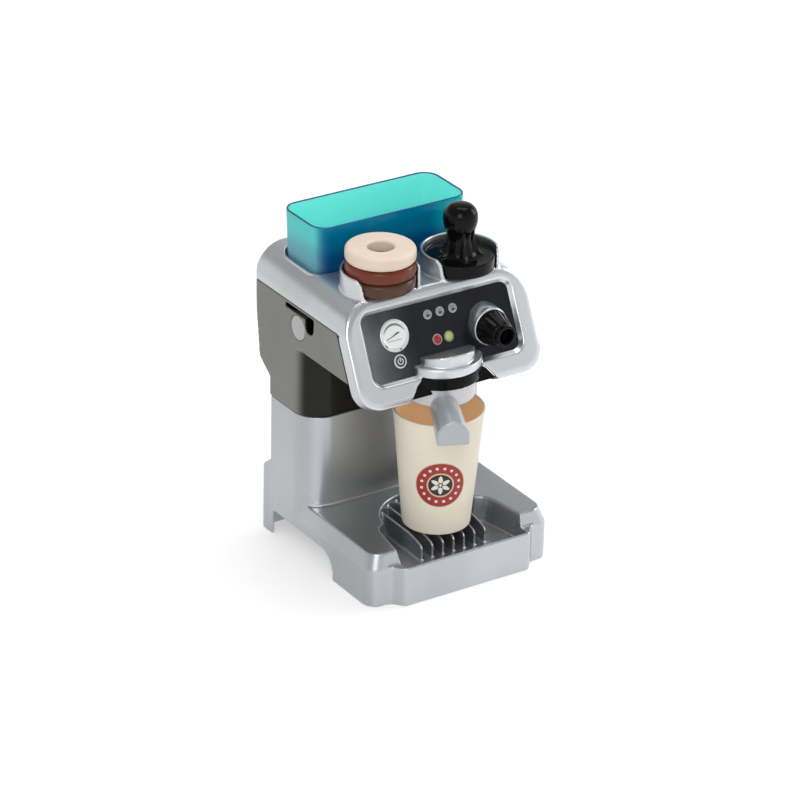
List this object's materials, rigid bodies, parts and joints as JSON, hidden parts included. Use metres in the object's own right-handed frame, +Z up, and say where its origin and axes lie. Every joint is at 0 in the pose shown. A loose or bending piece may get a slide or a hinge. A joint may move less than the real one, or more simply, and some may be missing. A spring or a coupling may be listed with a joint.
{
  "type": "toy coffee maker",
  "caption": "Toy espresso machine with drip tray, twist-in portafilter, turning steam knob, lift-out water tank, tamper, coffee pads and a cup.",
  "frame": {"origin": "on the ground below the middle of the whole object's bounding box, portafilter handle included", "axes": "+Z up, front with the control panel towards -Y, +X to the right of someone facing the front"},
  "size_m": [0.172, 0.2121, 0.2955],
  "materials": {
    "silver_plastic": "satin silver metallic moulding",
    "dark_plastic": "glossy dark grey",
    "panel_film": "printed glossy film",
    "black_plastic": "glossy black",
    "screw_steel": "zinc plated",
    "light_silver_plastic": "satin light silver",
    "grey_plastic": "satin blue grey",
    "cream_plastic": "matt",
    "red_brown_plastic": "matt",
    "dark_brown_plastic": "matt",
    "blue_clear_plastic": "translucent blue moulding",
    "cup_plastic": "smooth cream, tan inside"
  },
  "bodies": {
    "machine": {"base_housing": "silver_plastic", "upper_housing": "dark_plastic", "top_cover": "silver_plastic", "well_walls": "silver_plastic", "control_panel": "panel_film", "group_collar": "black_plastic", "side_plugs": "silver_plastic", "base_screws": "screw_steel", "cover_screws": "screw_steel", "collar_screws": "screw_steel"},
    "knob": {"steam_knob": "black_plastic", "knob_washer": "screw_steel", "knob_screw": "screw_steel"},
    "portafilter": {"portafilter_basket": "light_silver_plastic", "portafilter_handle": "grey_plastic", "handle_screw": "screw_steel"},
    "tamper": {"tamper_base": "black_plastic", "tamper_knob": "black_plastic"},
    "pad_low": {"pad_bottom": "dark_brown_plastic"},
    "pad_mid": {"pad_middle": "red_brown_plastic"},
    "pad_high": {"pad_top": "cream_plastic"},
    "tank": {"water_tank": "blue_clear_plastic"},
    "paper_cup": {"cup": "cup_plastic"}
  },
  "joints": [
    {"name": "knob_turn", "type": "hinge", "parent": "machine", "child": "knob", "pos_m": [0.042, -0.0405, 0.204], "axis": [0, -1, 0], "continuous": true},
    {"name": "portafilter_twist", "type": "hinge", "parent": "machine", "child": "portafilter", "pos_m": [0, -0.0325, 0.16], "axis": [0, 0, 1], "range_deg": [-19.8, 25.2]},
    {"name": "tamper_lift", "type": "slide", "parent": "machine", "child": "tamper", "axis": [0, 0, 1], "range_m": [0, 0.06]},
    {"name": "pad_low_lift", "type": "slide", "parent": "machine", "child": "pad_low", "axis": [0, 0, 1], "range_m": [0, 0.04]},
    {"name": "pad_mid_lift", "type": "slide", "parent": "pad_low", "child": "pad_mid", "axis": [0, 0, 1], "range_m": [0, 0.04]},
    {"name": "pad_high_lift", "type": "slide", "parent": "pad_mid", "child": "pad_high", "axis": [0, 0, 1], "range_m": [0, 0.04]},
    {"name": "tank_lift", "type": "slide", "parent": "machine", "child": "tank", "axis": [0, 0, 1], "range_m": [0, 0.06]},
    {"name": "cup_slide", "type": "slide", "parent": "machine", "child": "paper_cup", "axis": [0, -1, 0], "range_m": [0, 0.11]}
  ]
}
